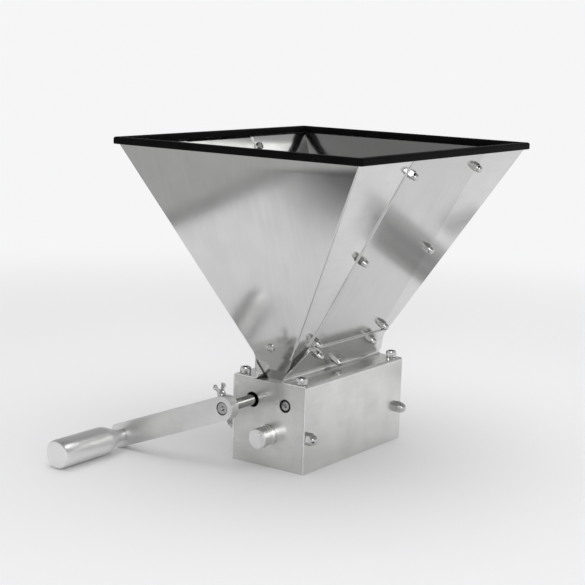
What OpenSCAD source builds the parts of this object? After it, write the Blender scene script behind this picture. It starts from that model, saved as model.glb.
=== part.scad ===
// Three-roller malt mill with a sheet metal hopper and a hand crank.
// X runs along the rollers with the crank at -X, Z is up, and the origin is the
// centre of the mill body's underside.

/* [Body] */
// Length of the body along the rollers
body_l = 160; // [130:1:240]
// Width of the body across the rollers
body_w = 80; // [76:1:110]
// Height of the body
body_h = 80; // [78:1:100]
// Thickness of the two end plates
plate_t = 12; // [10:0.5:16]
// Sheet thickness of the two bent covers
cover_t = 1.5; // [1:0.1:2.5]
// Outside radius of the bend along the covers' top edges
cover_bend_r = 2.5; // [2.5:0.1:4]
// Inside radius of the bend from a cover's top to its hopper wing
wing_bend_r = 2; // [1.5:0.1:3]
// Length of the wing up the hopper's side
wing_l = 27.5; // [24:0.5:34]
// Distance of the wing's ends from the body's ends at its upper edge
wing_top_inset = 22; // [18:0.5:30]
// Distance of the wing's ends from the body's ends at its foot
wing_foot_inset = 3.5; // [1:0.5:10]
// Distance from the cover's other end to the wing's upper corner there
wing_rear_inset = 15.5; // [10:0.5:24]
// Height of the square foot below that corner
wing_square_h = 4; // [1:0.5:8]

/* [Rollers] */
// Clearance between the upper rollers and the covers
roller_side_gap = 3.5; // [2:0.1:6]
// Clearance between the upper rollers and the plates' top
roller_top_gap = 2.5; // [1:0.1:4]
// Fixed gap between the two upper rollers
upper_gap = 2; // [1.5:0.1:4]
// Gap of the lower roller at the middle of its adjustment
nip_gap = 0.9; // [0.8:0.1:2]
// Number of flutes round a roller
flute_count = 60; // [36:1:90]
// Depth of the flutes
flute_depth = 0.6; // [0.3:0.1:1]
// Diameter of the drive shaft
shaft_d = 10; // [8:0.5:11]
// Diameter of the idler axle and the lower axle
axle_d = 8; // [6:0.5:10]
// Outside diameter of the drive shaft's bushes
drive_bush_d = 14; // [13:0.5:16]
// Outside diameter of the idler axle's bushes
idler_bush_d = 12; // [12:0.5:14]
// Diameter of the thrust flange on each bush
bush_flange_d = 18; // [17:0.5:20]
// Thickness of the thrust flange
thrust_t = 1.6; // [1:0.1:2.5]
// Depth of the bushes and axle ends below the plates' outer faces
bush_recess = 0.4; // [0.2:0.1:1]
// Depth of the wide mouth in the drive shaft's bushes
bush_mouth = 6; // [3:0.5:8]
// Wall of that mouth
bush_lip = 0.8; // [0.6:0.1:1.5]

/* [Adjusters] */
// Diameter of the adjuster knobs
knob_d = 18.5; // [17.5:0.5:24]
// Diameter of the collar at the foot of each knob
knob_collar_d = 20; // [19:0.5:26]
// Length of the knobs
knob_l = 16; // [12:0.5:24]
// Diameter of the adjusters' journals in the end plates
journal_d = 16; // [14:0.5:16.5]
// Distance of the lower axle from the adjusters' own axis
eccentric = 1; // [0.5:0.1:1.2]
// Depth of the groove that keeps an adjuster in its plate
groove_depth = 1; // [0.5:0.1:1.2]
// Height of the lock studs above the adjusters' axis
lock_rise = 3; // [0:0.5:3]

/* [Hopper] */
// Length of the hopper at its upright collar
hopper_l = 281; // [240:1:320]
// Width of the hopper at its upright collar
hopper_w = 252; // [210:1:290]
// Height at which the sloping panels bend into the collar
collar_z = 282; // [240:0.5:330]
// Height of the collar
collar_h = 4.5; // [4:0.1:8]
// Sheet thickness of the hopper
hopper_t = 1.2; // [0.8:0.1:1.5]
// Width of the neck at the plates' top
neck_w = 17; // [14:0.5:22]
// Distance of the end panels' planes from the plates' inner faces at the plates' top
neck_inset = 0.4; // [0.2:0.1:1]
// Distance of the side panels' edges from the body's ends
strip_inset = 20; // [17:0.5:30]
// Overlap of the side panels and the end panels' flanges
seam_lap = 10; // [9:0.5:14]
// Height of the end panels' tongues above the plates
tongue_h = 21; // [16:0.5:22]
// Slope distance from the wing's upper edge to the flanges' lower edges
flange_rise = 3.1; // [2:0.1:4]
// Distance of the flanges' lower corners from the side panels' edges
flange_step = 4.3; // [3:0.1:8]
// Distance of the tongues' feet from the plates' inner faces
tongue_inset = 1.7; // [1.6:0.1:3]
// Slope distance from the collar to the first seam screw
seam_first = 12.1; // [10:0.1:16]
// Slope distance from the last seam screw to the wing's upper edge
seam_last = 8.6; // [7:0.1:12]
// Number of screws in a seam
seam_count = 3; // [2:1:4]
// Height of the screw in each end panel above the plate
end_screw_h = 30.3; // [26:0.1:40]

/* [Rim] */
// Height of the trim's lower edge above the collar's bend
rim_lift = 0.4; // [0.4:0.1:2]
// Thickness of the trim's two lips
rim_wall = 3; // [2:0.1:5]
// Outside radius of the trim's corners
rim_corner_r = 3; // [2:0.5:10]
// Thickness of the trim over the sheet's edge
rim_cap = 2.1; // [1.5:0.1:4]
// Position of the trim's butt joint
rim_joint_x = 63; // [-100:1:100]

/* [Crank] */
// Distance from the shaft to the grip's axis
crank_l = 125; // [100:1:160]
// Width of the crank arm
arm_w = 22; // [18:0.5:28]
// Thickness of the crank arm
arm_t = 10; // [8:0.5:14]
// Free shaft between the end plate and the arm
arm_gap = 34; // [24:1:50]
// Length of the arm past the grip's axis
arm_overhang = 10.5; // [8:0.5:16]
// Radius of the arm's two outer corners
arm_corner_r = 4; // [2:0.5:7]
// Diameter of the countersink round the shaft's end
countersink_d = 12; // [11:0.5:14]
// Diameter of the grip
grip_d = 26; // [22:0.5:32]
// Length of the grip
grip_l = 84.5; // [70:0.5:110]
// Diameter of the grip's neck
neck_d = 11; // [10.5:0.5:14]
// Length of the grip's straight neck
neck_l = 2; // [1:0.5:10]
// Distance from the neck's end to the full grip
grip_taper_end = 30; // [26:0.5:46]
// Diameter of the pin that carries the grip
grip_pin_d = 8; // [7:0.5:8.5]
// Thread size of the screw that keeps the pin in the arm
grip_thread = 5; // [4:0.5:5]

/* [Fasteners] */
// Thread size of the body's screws and studs
body_thread = 6; // [5:0.5:6]
// Thread size of the hopper's screws
hopper_thread = 4; // [3:0.5:4]
// Distance of the cover screws from the cover's side
cover_screw_edge = 9; // [7:0.5:10]
// Distance of the seam screws from the side panel's edge
seam_edge = 5; // [4:0.1:6]
// Distance of the upper neck screws from the side panel's edge
neck_screw_edge = 16; // [12:0.5:30]
// Pitch of the body's thread
body_pitch = 1; // [0.7:0.05:1.25]
// Slope distance from the wing's edge to its upper screws
neck_screw_drop = 5.5; // [5:0.1:8]
// Slope distance from the wing's edge to its lower screw
neck_low_drop = 22; // [18:0.1:23]
// Distance between the mounting holes across the body
mount_w = 50; // [40:1:60]
// Depth of the tapped mounting holes
mount_depth = 15; // [10:1:18]

/* [Hidden] */
$fn = 48;
running_clear = 0.05;
thread_clear = 0.05;
hole_clear = 0.3;
face_clear = 0.2;
end_float = 0.4;
flat_clear = 0.4;
table_clear = 0.3;
past = 1;
bend_steps = 10;

inner_l = body_l - 2 * plate_t;
plate_x = body_l / 2 - plate_t / 2;
plate_w = body_w - 2 * cover_t;
plate_h = body_h - cover_t;
roller_l = inner_l - 2 * (thrust_t + end_float);
roller_d = (plate_w - 2 * roller_side_gap - upper_gap) / 2;
roller_z = plate_h - roller_top_gap - roller_d / 2;
roller_pitch = roller_d + upper_gap;
roller_y = roller_pitch / 2;
lower_z = roller_z - sqrt(pow(roller_d + nip_gap, 2) - pow(roller_y, 2));
groove_w = body_thread + 2 * flat_clear;
axle_l = body_l - 2 * bush_recess;
lower_axle_l = body_l + knob_l;
lock_z = lower_z + lock_rise;
cover_screw_y = body_w / 2 - cover_screw_edge;
wing_centre_z = body_h + wing_bend_r;
wing_outer_r = wing_bend_r + cover_t;
strip_w = body_l - 2 * strip_inset;
flange_x = strip_w / 2 - seam_lap;
neck_x = inner_l / 2 + neck_inset;
end_slope = atan((hopper_l / 2 - neck_x) / (collar_z - plate_h));
side_slope = atan((hopper_w - neck_w) / 2 / (collar_z - plate_h));
tongue_z = plate_h + tongue_h;
end_screw_z = plate_h + end_screw_h;
neck_screw_x = strip_w / 2 - neck_screw_edge;
arm_front_x = -body_l / 2 - arm_gap - arm_t;
crank_drop = asin((roller_z - grip_d / 2 - table_clear) / crank_l);
cross_thread = hopper_thread;
cover_screw_l = 3 * body_thread;
body_head_d = body_thread / 0.6;
hopper_nut_af = 1.75 * hopper_thread;
hopper_nut_h = 0.8 * hopper_thread;
grip_pin_depth = grip_taper_end;
grip_washer_t = 0.2 * grip_pin_d;
grip_washer_d = 1.8 * grip_pin_d;
grip_screw_head_h = 0.4 * grip_thread;
grip_screw_l = 2 * grip_thread;
grip_pocket = grip_washer_t + grip_screw_head_h + 2 * face_clear;
hopper_top_z = collar_z + collar_h;
rim_low_z = collar_z + rim_lift;
rim_h = hopper_top_z + rim_cap - rim_low_z;
seam_xs = [for (s = [-1, 1]) s * (strip_w / 2 - seam_edge)];
side_pack = 2 * hopper_t;
wing_pack = hopper_t + cover_t;

// Half length and half width of the hopper's folds at a height
function end_x(z) = hopper_l / 2 - tan(end_slope) * max(0, collar_z - z);
function side_y(z) = hopper_w / 2 - tan(side_slope) * max(0, collar_z - z);

// Y of the wing bend's centre, so that the wing lies on the side panel
wing_centre_y = -side_y(wing_centre_z) - (hopper_t + wing_outer_r) / cos(side_slope);
// Slope distances from the collar to the wing's foot and to its upper edge
wing_foot = (collar_z - wing_centre_z - (hopper_t + wing_outer_r) * sin(side_slope)) / cos(side_slope);
wing_edge = wing_foot - wing_l;
flange_low_z = collar_z - (wing_edge - flange_rise) * cos(side_slope);
seam_pitch = (wing_edge - seam_first - seam_last) / (seam_count - 1);
seam_drops = [for (i = [0:seam_count - 1]) seam_first + i * seam_pitch];
neck_spots = [[-neck_screw_x, neck_screw_drop], [neck_screw_x, neck_screw_drop], [0, neck_low_drop]];

steel = "#c9cac8";
satin = "#b9bab6";
bright = "#dcdcda";
black = "#1c1c1c";

// A section in Y and Z, extruded along X from x0 over the length l
module along_x(x0, l) {
    translate([x0, 0, 0]) rotate([90, 0, 90]) linear_extrude(l) children();
}

// An outline in X and Z, extruded along Y over the width w about the middle
module across_y(w) {
    translate([0, w / 2, 0]) rotate([90, 0, 0]) linear_extrude(w) children();
}

// A cylinder along X from x0 over the length l
module rod_x(d, x0, l) {
    translate([x0, 0, 0]) rotate([0, 90, 0]) cylinder(d = d, h = l);
}

// The second of two like pieces, turned half a turn about Z
module turned() {
    rotate([0, 0, 180]) children();
}

// Points of an arc about c with the radius r, from angle a to angle b
function arc(c, r, a, b) = [for (i = [0:bend_steps]) let (t = a + (b - a) * i / bend_steps)
    c + r * [cos(t), sin(t)]];

// A spot on a side panel at -Y, with Z along its outward normal
module on_side(x, drop, off) {
    y = -hopper_w / 2 + drop * sin(side_slope) - off * cos(side_slope);
    z = collar_z - drop * cos(side_slope) - off * sin(side_slope);
    translate([x, y, z]) rotate([90 + side_slope, 0, 0]) children();
}

// The screw's spot on the end panel at -X, with Z along its outward normal
module on_end() {
    translate([-end_x(end_screw_z), 0, end_screw_z]) rotate([0, -90 - end_slope, 0]) children();
}

// Places a part at every seam screw on both sides of the hopper
module at_seams() {
    for (side = [0, 180], x = seam_xs, drop = seam_drops)
        rotate([0, 0, side]) on_side(x, drop, hopper_t) children();
}

// Places a part at every screw of the two wings
module at_neck() {
    for (side = [0, 180], spot = neck_spots)
        rotate([0, 0, side]) on_side(spot.x, wing_edge + spot.y, wing_pack) children();
}

// A pan head screw whose tip points along Z, with the joint's outer face at Z = 0
module pan_screw(d, pack, tip) {
    head_d = 2 * d;
    head_h = 0.6 * d;
    edge = 0.25 * d;
    translate([0, 0, -pack]) cylinder(d = d, h = pack + tip);
    translate([0, 0, -pack - head_h + edge]) cylinder(d = head_d, h = head_h - edge);
    translate([0, 0, -pack - head_h]) cylinder(d1 = head_d - 2 * edge, d2 = head_d, h = edge);
}

// A domed nut on the face Z = 0, with room for a thread of the diameter d
module domed_nut(d, af, hex_h, h) {
    dome_d = 0.94 * af;
    difference() {
        union() {
            intersection() {
                cylinder(d = af / cos(30), h = hex_h, $fn = 6);
                translate([0, 0, -af + hex_h + 0.12 * af]) cylinder(d1 = 3 * af, d2 = 0.86 * af, h = af);
            }
            cylinder(d = dome_d, h = h - dome_d / 2);
            translate([0, 0, h - dome_d / 2]) sphere(d = dome_d);
        }
        translate([0, 0, -past]) cylinder(d = d + 2 * thread_clear, h = h - dome_d / 4 + past);
    }
}

// A plain hexagon nut on the face Z = 0
module hex_nut(d, af, h) {
    difference() {
        cylinder(d = af / cos(30), h = h, $fn = 6);
        translate([0, 0, -past]) cylinder(d = d + 2 * thread_clear, h = h + 2 * past);
    }
}

// The end plate at -X with its bores, tapped holes and rounded upper corners
module end_plate() {
    corner_r = cover_bend_r - cover_t + flat_clear;
    half = plate_w / 2;
    difference() {
        along_x(-body_l / 2, plate_t) {
            translate([-half, 0]) square([plate_w, plate_h - corner_r]);
            translate([-half + corner_r, 0]) square([plate_w - 2 * corner_r, plate_h]);
            for (s = [-1, 1]) translate([s * (half - corner_r), plate_h - corner_r]) circle(corner_r);
        }
        bush_bores();
        translate([0, 0, lower_z])
            rod_x(journal_d + 2 * running_clear, -body_l / 2 - past, plate_t + 2 * past);
        for (s = [-1, 1]) {
            translate([-plate_x, s * cover_screw_y, plate_h - cover_screw_l])
                cylinder(d = body_thread + 2 * thread_clear, h = cover_screw_l + past);
            translate([-plate_x, s * (half + past), lock_z]) rotate([s * 90, 0, 0])
                cylinder(d = body_thread + 2 * thread_clear, h = half);
            translate([-plate_x, s * mount_w / 2, -past])
                cylinder(d = body_thread - body_pitch, h = mount_depth + past);
        }
    }
}

// Bores for the plates' bushes, with the drive side at +Y
module bush_bores() {
    translate([0, roller_y, roller_z])
        rod_x(drive_bush_d + 2 * thread_clear, -body_l / 2 - past, plate_t + 2 * past);
    translate([0, -roller_y, roller_z])
        rod_x(idler_bush_d + 2 * thread_clear, -body_l / 2 - past, plate_t + 2 * past);
}

module front_end_plate() {
    color(satin) end_plate();
}

module rear_end_plate() {
    color(satin) mirror([1, 0, 0]) end_plate();
}

// Section of the cover at -Y: side, top and the wing that carries the hopper
module cover_section() {
    side = -body_w / 2;
    top_c = [side + cover_bend_r, body_h - cover_bend_r];
    wing_c = [wing_centre_y, wing_centre_z];
    out = [cos(side_slope), sin(side_slope)];
    up = wing_l * [-sin(side_slope), cos(side_slope)];
    polygon(concat([[side, 0]], arc(top_c, cover_bend_r, 180, 90),
        arc(wing_c, wing_bend_r, -90, side_slope),
        [wing_c + wing_bend_r * out + up, wing_c + wing_outer_r * out + up],
        arc(wing_c, wing_outer_r, side_slope, -90),
        arc(top_c, cover_bend_r - cover_t, 90, 180), [[side + cover_t, 0]]));
}

// The cover at -Y, a bent sheet whose wing narrows upwards
module cover() {
    half = body_l / 2;
    foot = half - wing_foot_inset;
    top = half - wing_top_inset;
    top_z = collar_z - wing_edge * cos(side_slope) + past;
    difference() {
        intersection() {
            along_x(-half, body_l) cover_section();
            across_y(2 * body_w) polygon([[-half, 0], [half, 0], [half, wing_centre_z + wing_square_h],
                [half - wing_rear_inset, top_z], [-top, top_z], [-foot, wing_centre_z], [-half, body_h]]);
        }
        for (s = [-1, 1]) translate([s * plate_x, 0, 0]) {
            translate([0, -cover_screw_y, plate_h - past])
                cylinder(d = body_thread + 2 * hole_clear, h = cover_t + 2 * past);
            translate([0, -body_w / 2 - past, lock_z]) rotate([-90, 0, 0])
                cylinder(d = body_thread + 2 * hole_clear, h = cover_t + 2 * past);
        }
        for (spot = neck_spots) on_side(spot.x, wing_edge + spot.y, hopper_t - past)
            cylinder(d = hopper_thread + 2 * hole_clear, h = cover_t + 2 * past);
    }
}

module left_cover() {
    color(steel) cover();
}

module right_cover() {
    color(steel) turned() cover();
}

// Four socket head screws that hold the covers' tops to the end plates
module cover_screws() {
    socket_af = body_head_d / 2;
    edge = 0.5;
    color(bright) for (x = [-plate_x, plate_x], y = [-cover_screw_y, cover_screw_y])
        translate([x, y, body_h]) difference() {
            union() {
                translate([0, 0, -cover_screw_l]) cylinder(d = body_thread, h = cover_screw_l);
                cylinder(d = body_head_d, h = body_thread - edge);
                translate([0, 0, body_thread - edge])
                    cylinder(d1 = body_head_d, d2 = body_head_d - 2 * edge, h = edge);
            }
            translate([0, 0, body_thread / 2])
                cylinder(d = socket_af / cos(30), h = body_thread, $fn = 6);
        }
}

// Places a part at the four lock studs, with Z outwards from the cover's side
module at_locks() {
    for (x = [-plate_x, plate_x], s = [-1, 1])
        translate([x, s * body_w / 2, lock_z]) rotate([s * -90, 0, 0]) children();
}

// Four studs whose tips run in the adjusters' grooves
module lock_studs() {
    inside = body_w / 2 - (journal_d / 2 - groove_depth) - flat_clear;
    color(bright) at_locks() translate([0, 0, -inside]) cylinder(d = body_thread, h = inside + body_thread);
}

module dome_nuts() {
    color(bright) at_locks() domed_nut(body_thread, body_head_d, 0.75 * body_thread, 1.6 * body_thread);
}

// A plastic bush for the plate at -X, with its thrust flange on the inner face and a mouth outside
module bush(d, bore, mouth = 0) {
    difference() {
        union() {
            rod_x(d, -body_l / 2 + bush_recess, plate_t - bush_recess);
            rod_x(bush_flange_d, -inner_l / 2, thrust_t);
        }
        rod_x(bore + 2 * running_clear, -body_l / 2 - past, plate_t + thrust_t + 2 * past);
        if (mouth > 0) rod_x(d - 2 * bush_lip, -body_l / 2 - past, past + bush_recess + mouth);
    }
}

module front_drive_bush() {
    color(black) translate([0, roller_y, roller_z]) bush(drive_bush_d, shaft_d, bush_mouth);
}

module rear_drive_bush() {
    color(black) translate([0, roller_y, roller_z]) mirror([1, 0, 0]) bush(drive_bush_d, shaft_d, bush_mouth);
}

module front_idler_bush() {
    color(black) translate([0, -roller_y, roller_z]) bush(idler_bush_d, axle_d);
}

module rear_idler_bush() {
    color(black) translate([0, -roller_y, roller_z]) mirror([1, 0, 0]) bush(idler_bush_d, axle_d);
}

// A fluted roller about the X axis, bored for its shaft or axle
module roller(bore) {
    r = roller_d / 2;
    step = 360 / flute_count;
    land = 0.3 * step;
    difference() {
        along_x(-roller_l / 2, roller_l) polygon([for (i = [0:flute_count - 1], p = [[-land, r], [land, r],
            [step / 2, r - flute_depth]]) p.y * [cos(i * step + p.x), sin(i * step + p.x)]]);
        rod_x(bore + 2 * running_clear, -roller_l / 2 - past, roller_l + 2 * past);
    }
}

// A centre drilling in the end at x of a bar of the diameter d, opening towards -X
module centre_mark(x, d) {
    translate([x, 0, 0]) rotate([0, 90, 0])
        cylinder(d1 = 0.45 * d, d2 = 0.15 * d, h = 0.15 * d);
}

// The drive shaft, with a cross hole for the crank's wing screw
module drive_shaft() {
    front = arm_front_x + 2 * bush_recess;
    color(bright) difference() {
        translate([0, roller_y, roller_z]) difference() {
            rod_x(shaft_d, front, axle_l / 2 - front);
            centre_mark(front, shaft_d);
        }
        crank_frame() translate([arm_front_x + arm_t / 2, 0, -shaft_d])
            cylinder(d = cross_thread + 2 * thread_clear, h = 2 * shaft_d);
    }
}

module drive_roller() {
    color(satin) translate([0, roller_y, roller_z]) roller(shaft_d);
}

// An axle of the length l with a centre mark in each end
module axle(l) {
    difference() {
        rod_x(axle_d, -l / 2, l);
        centre_mark(-l / 2, axle_d);
        mirror([1, 0, 0]) centre_mark(-l / 2, axle_d);
    }
}

module idler_axle() {
    color(bright) translate([0, -roller_y, roller_z]) axle(axle_l);
}

// The idler stands half a flute out of step with the drive roller
module idler_roller() {
    color(satin) translate([0, -roller_y, roller_z]) rotate([180 / flute_count, 0, 0]) roller(axle_d);
}

module lower_axle() {
    color(bright) translate([0, 0, lower_z - eccentric]) axle(lower_axle_l);
}

module lower_roller() {
    color(satin) translate([0, 0, lower_z - eccentric]) roller(axle_d);
}

// The adjuster at -X: a knob on a grooved journal with an eccentric bore for the axle
module adjuster() {
    collar_l = 3;
    edge = 0.8;
    dot_d = 4;
    dot_r = 0.36 * knob_d;
    dot_turn = 37;
    face_x = -body_l / 2 - face_clear;
    tip_x = face_x - knob_l;
    groove_r = journal_d / 2 - groove_depth;
    difference() {
        union() {
            rod_x(journal_d, face_x, plate_t + thrust_t + face_clear);
            rod_x(knob_collar_d, face_x - collar_l, collar_l);
            rod_x(knob_d, tip_x + edge, knob_l - edge);
            translate([tip_x, 0, 0]) rotate([0, 90, 0])
                cylinder(d1 = knob_d - 2 * edge, d2 = knob_d, h = edge);
        }
        translate([-plate_x - groove_w / 2, 0, 0]) rotate([0, 90, 0]) difference() {
            cylinder(d = knob_d, h = groove_w);
            cylinder(r = groove_r, h = groove_w);
        }
        translate([0, 0, -eccentric])
            rod_x(axle_d + 2 * running_clear, -lower_axle_l / 2 - face_clear, body_l);
        rotate([dot_turn, 0, 0]) translate([0, 0, dot_r]) rod_x(dot_d, tip_x - past, past + dot_d / 4);
    }
}

module front_adjuster() {
    color(bright) translate([0, 0, lower_z]) adjuster();
}

module rear_adjuster() {
    color(bright) translate([0, 0, lower_z]) mirror([1, 0, 0]) adjuster();
}

// A sheet's bend from the slope a into the collar, d outside the fold planes meeting at p
function collar_bend(p, a, d) = [p - d, collar_z - d * tan(a / 2)];

// A side panel's section at -Y between two distances from the fold plane
module side_section(inner, outer, low_z) {
    low_y = -side_y(low_z);
    edge_y = -side_y(collar_z);
    slant = 1 / cos(side_slope);
    polygon([[low_y - inner * slant, low_z], collar_bend(edge_y, side_slope, inner),
        [edge_y - inner, hopper_top_z], [edge_y - outer, hopper_top_z],
        collar_bend(edge_y, side_slope, outer), [low_y - outer * slant, low_z]]);
}

// The end panel at -X: sloping wall, tongue on the end plate, and two corner flanges
module end_panel() {
    foot_x = inner_l / 2 + tongue_inset;
    wall = hopper_t / cos(end_slope);
    edge_x = -end_x(collar_z);
    bent_x = -end_x(tongue_z);
    reach = hopper_l / 2 + past;
    difference() {
        union() {
            intersection() {
                across_y(hopper_w) polygon([[edge_x, hopper_top_z], collar_bend(edge_x, end_slope, 0),
                    [bent_x, tongue_z], [-foot_x, plate_h], [-foot_x + wall, plate_h],
                    [bent_x + wall, tongue_z], collar_bend(edge_x, end_slope, -hopper_t),
                    [edge_x + hopper_t, hopper_top_z]]);
                along_x(-reach, reach) polygon([[-side_y(plate_h), plate_h], [side_y(plate_h), plate_h],
                    [hopper_w / 2, collar_z], [hopper_w / 2, hopper_top_z],
                    [-hopper_w / 2, hopper_top_z], [-hopper_w / 2, collar_z]]);
            }
            for (s = [0, 1]) mirror([0, s, 0]) intersection() {
                along_x(-reach, reach) side_section(-hopper_t, 0, plate_h);
                across_y(hopper_w) polygon([[edge_x, hopper_top_z], [-flange_x, hopper_top_z],
                    [-flange_x, flange_low_z], [-strip_w / 2 - flange_step, flange_low_z], [bent_x, tongue_z],
                    [edge_x, collar_z]]);
            }
        }
        at_seams() translate([0, 0, -side_pack - past])
            cylinder(d = hopper_thread + 2 * hole_clear, h = side_pack + 2 * past);
        on_end() translate([0, 0, -hopper_t - past])
            cylinder(d = hopper_thread + 2 * hole_clear, h = hopper_t + 2 * past);
    }
}

module hopper_front_panel() {
    color(steel) end_panel();
}

module hopper_rear_panel() {
    color(steel) turned() end_panel();
}

// The side panel at -Y, a straight strip that lies outside the flanges and inside the wing
module side_panel() {
    difference() {
        along_x(-strip_w / 2, strip_w) side_section(0, hopper_t, plate_h);
        at_seams() translate([0, 0, -hopper_t - past])
            cylinder(d = hopper_thread + 2 * hole_clear, h = hopper_t + 2 * past);
        at_neck() translate([0, 0, -wing_pack - past])
            cylinder(d = hopper_thread + 2 * hole_clear, h = wing_pack + 2 * past);
    }
}

module hopper_left_panel() {
    color(steel) side_panel();
}

module hopper_right_panel() {
    color(steel) turned() side_panel();
}

module seam_screws() {
    color(bright) at_seams() pan_screw(hopper_thread, side_pack, 1.2 * hopper_thread);
}

module hopper_nut() {
    domed_nut(hopper_thread, hopper_nut_af, hopper_nut_h, 2 * hopper_thread);
}

module seam_nuts() {
    color(bright) at_seams() hopper_nut();
}

module neck_screws() {
    color(bright) at_neck() pan_screw(hopper_thread, wing_pack, 1.2 * hopper_thread);
}

module neck_nuts() {
    color(bright) at_neck() hopper_nut();
}

// One pan head screw in each end panel, with its head outside
module end_screws() {
    color(bright) for (side = [0, 180]) rotate([0, 0, side]) on_end()
        mirror([0, 0, 1]) translate([0, 0, hopper_t]) pan_screw(hopper_thread, hopper_t, hopper_thread);
}

module end_nuts() {
    color(bright) for (side = [0, 180]) rotate([0, 0, side]) on_end()
        mirror([0, 0, 1]) translate([0, 0, hopper_t]) hex_nut(hopper_thread, hopper_nut_af, hopper_nut_h);
}

// An upright block about the Z axis with rounded corners
module block(l, w, r, z0, z1) {
    translate([0, 0, z0]) linear_extrude(z1 - z0) {
        square([l - 2 * r, w], center = true);
        square([l, w - 2 * r], center = true);
        for (x = [-1, 1], y = [-1, 1]) translate([x * (l / 2 - r), y * (w / 2 - r)]) circle(r);
    }
}

// Rubber trim with a slot for the sheets' edges and a butt joint
module rim_trim() {
    low = rim_low_z;
    top = hopper_top_z + rim_cap;
    lip = hopper_t + rim_wall;
    joint_w = 0.4;
    color(black) difference() {
        block(hopper_l + 2 * lip, hopper_w + 2 * lip, rim_corner_r, low, top);
        translate([0, 0, (low + top) / 2])
            cube([hopper_l - 2 * lip, hopper_w - 2 * lip, rim_h + 2 * past], center = true);
        translate([0, 0, low - past]) linear_extrude(hopper_top_z - low + past) difference() {
            square([hopper_l + 2 * hopper_t, hopper_w + 2 * hopper_t], center = true);
            square([hopper_l - 2 * hopper_t, hopper_w - 2 * hopper_t], center = true);
        }
        translate([rim_joint_x, -hopper_w, low - past]) cube([joint_w, hopper_w, rim_h + 2 * past]);
    }
}

// The crank's own frame: Y along the arm, X along the shaft
module crank_frame() {
    translate([0, roller_y, roller_z]) rotate([-crank_drop, 0, 0]) children();
}

// Flat bar with a round hub end, and a squared end with rounded corners at the grip
module crank_arm() {
    half = arm_w / 2;
    tip = crank_l + arm_overhang;
    color(satin) crank_frame() difference() {
        along_x(arm_front_x, arm_t) {
            circle(half);
            translate([0, -half]) square([tip - arm_corner_r, arm_w]);
            translate([0, -half + arm_corner_r]) square([tip, arm_w - 2 * arm_corner_r]);
            for (s = [-1, 1]) translate([tip - arm_corner_r, s * (half - arm_corner_r)])
                circle(arm_corner_r);
        }
        rod_x(shaft_d + 2 * running_clear, arm_front_x - past, arm_t + 2 * past);
        translate([arm_front_x, 0, 0]) rotate([0, 90, 0])
            cylinder(d1 = countersink_d, d2 = shaft_d, h = (countersink_d - shaft_d) / 2);
        translate([0, crank_l, 0])
            rod_x(grip_pin_d + 2 * running_clear, arm_front_x - past, arm_t + 2 * past);
        translate([0, crank_l, 0])
            rod_x(grip_washer_d + 2 * hole_clear, arm_front_x + arm_t - grip_pocket, grip_pocket + past);
        translate([arm_front_x + arm_t / 2, 0, -arm_w])
            cylinder(d = cross_thread + 2 * thread_clear, h = 2 * arm_w);
    }
}

// Wing screw through the arm and the shaft
module crank_wing_screw() {
    boss_d = 2 * cross_thread;
    boss_h = 1.4 * cross_thread;
    ear_t = 0.55 * cross_thread;
    ear_r = 0.4 * cross_thread;
    ear_x = 1.3 * cross_thread;
    ear_z = 2.2 * cross_thread;
    root_z = 0.4 * cross_thread;
    color(bright) crank_frame() translate([arm_front_x + arm_t / 2, 0, arm_w / 2]) {
        translate([0, 0, -arm_w - cross_thread]) cylinder(d = cross_thread, h = arm_w + cross_thread);
        cylinder(d1 = boss_d, d2 = 0.8 * boss_d, h = boss_h);
        for (s = [0, 1]) mirror([s, 0, 0]) across_y(ear_t) {
            translate([ear_x, ear_z]) circle(ear_r);
            polygon([[0, root_z], [boss_d / 2, root_z], [ear_x + ear_r, ear_z], [ear_x - ear_r, ear_z],
                [0, boss_h]]);
        }
    }
}

// Radius of the grip's taper at the share u of its length
function taper_r(u) = neck_d / 2 + (grip_d - neck_d) / 2 * (1 - cos(180 * u)) / 2;

// Places a part on the grip's axis with Z from the arm's front face towards -X
module on_grip() {
    crank_frame() translate([arm_front_x, crank_l, 0]) rotate([0, -90, 0]) children();
}

// Turned grip with a straight neck, a curved taper and a bevelled end
module grip() {
    edge = 1;
    steps = 16;
    taper_l = grip_taper_end - neck_l;
    color(satin) on_grip() difference() {
        rotate_extrude() polygon([[0, face_clear], [neck_d / 2, face_clear],
            for (i = [0:steps]) [taper_r(i / steps), neck_l + taper_l * i / steps],
            [grip_d / 2, grip_l - edge], [grip_d / 2 - edge, grip_l], [0, grip_l]]);
        translate([0, 0, -past]) cylinder(d = grip_pin_d + 2 * thread_clear, h = grip_pin_depth + past);
    }
}

// Pin fixed in the grip and turning in the arm, tapped for the screw at its rear end
module grip_pin() {
    behind = arm_t - grip_pocket + face_clear;
    color(bright) on_grip() translate([0, 0, -behind]) difference() {
        cylinder(d = grip_pin_d, h = behind + grip_pin_depth - past);
        translate([0, 0, -past]) cylinder(d = grip_thread + 2 * thread_clear, h = grip_screw_l + 2 * past);
    }
}

// Places a part behind the grip's pin, with Z into the pin
module behind_pin() {
    on_grip() translate([0, 0, grip_pocket - face_clear - arm_t]) children();
}

module grip_washer() {
    color(bright) behind_pin() translate([0, 0, -grip_washer_t]) difference() {
        cylinder(d = grip_washer_d, h = grip_washer_t);
        translate([0, 0, -past]) cylinder(d = grip_thread + 2 * thread_clear, h = grip_washer_t + 2 * past);
    }
}

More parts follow.
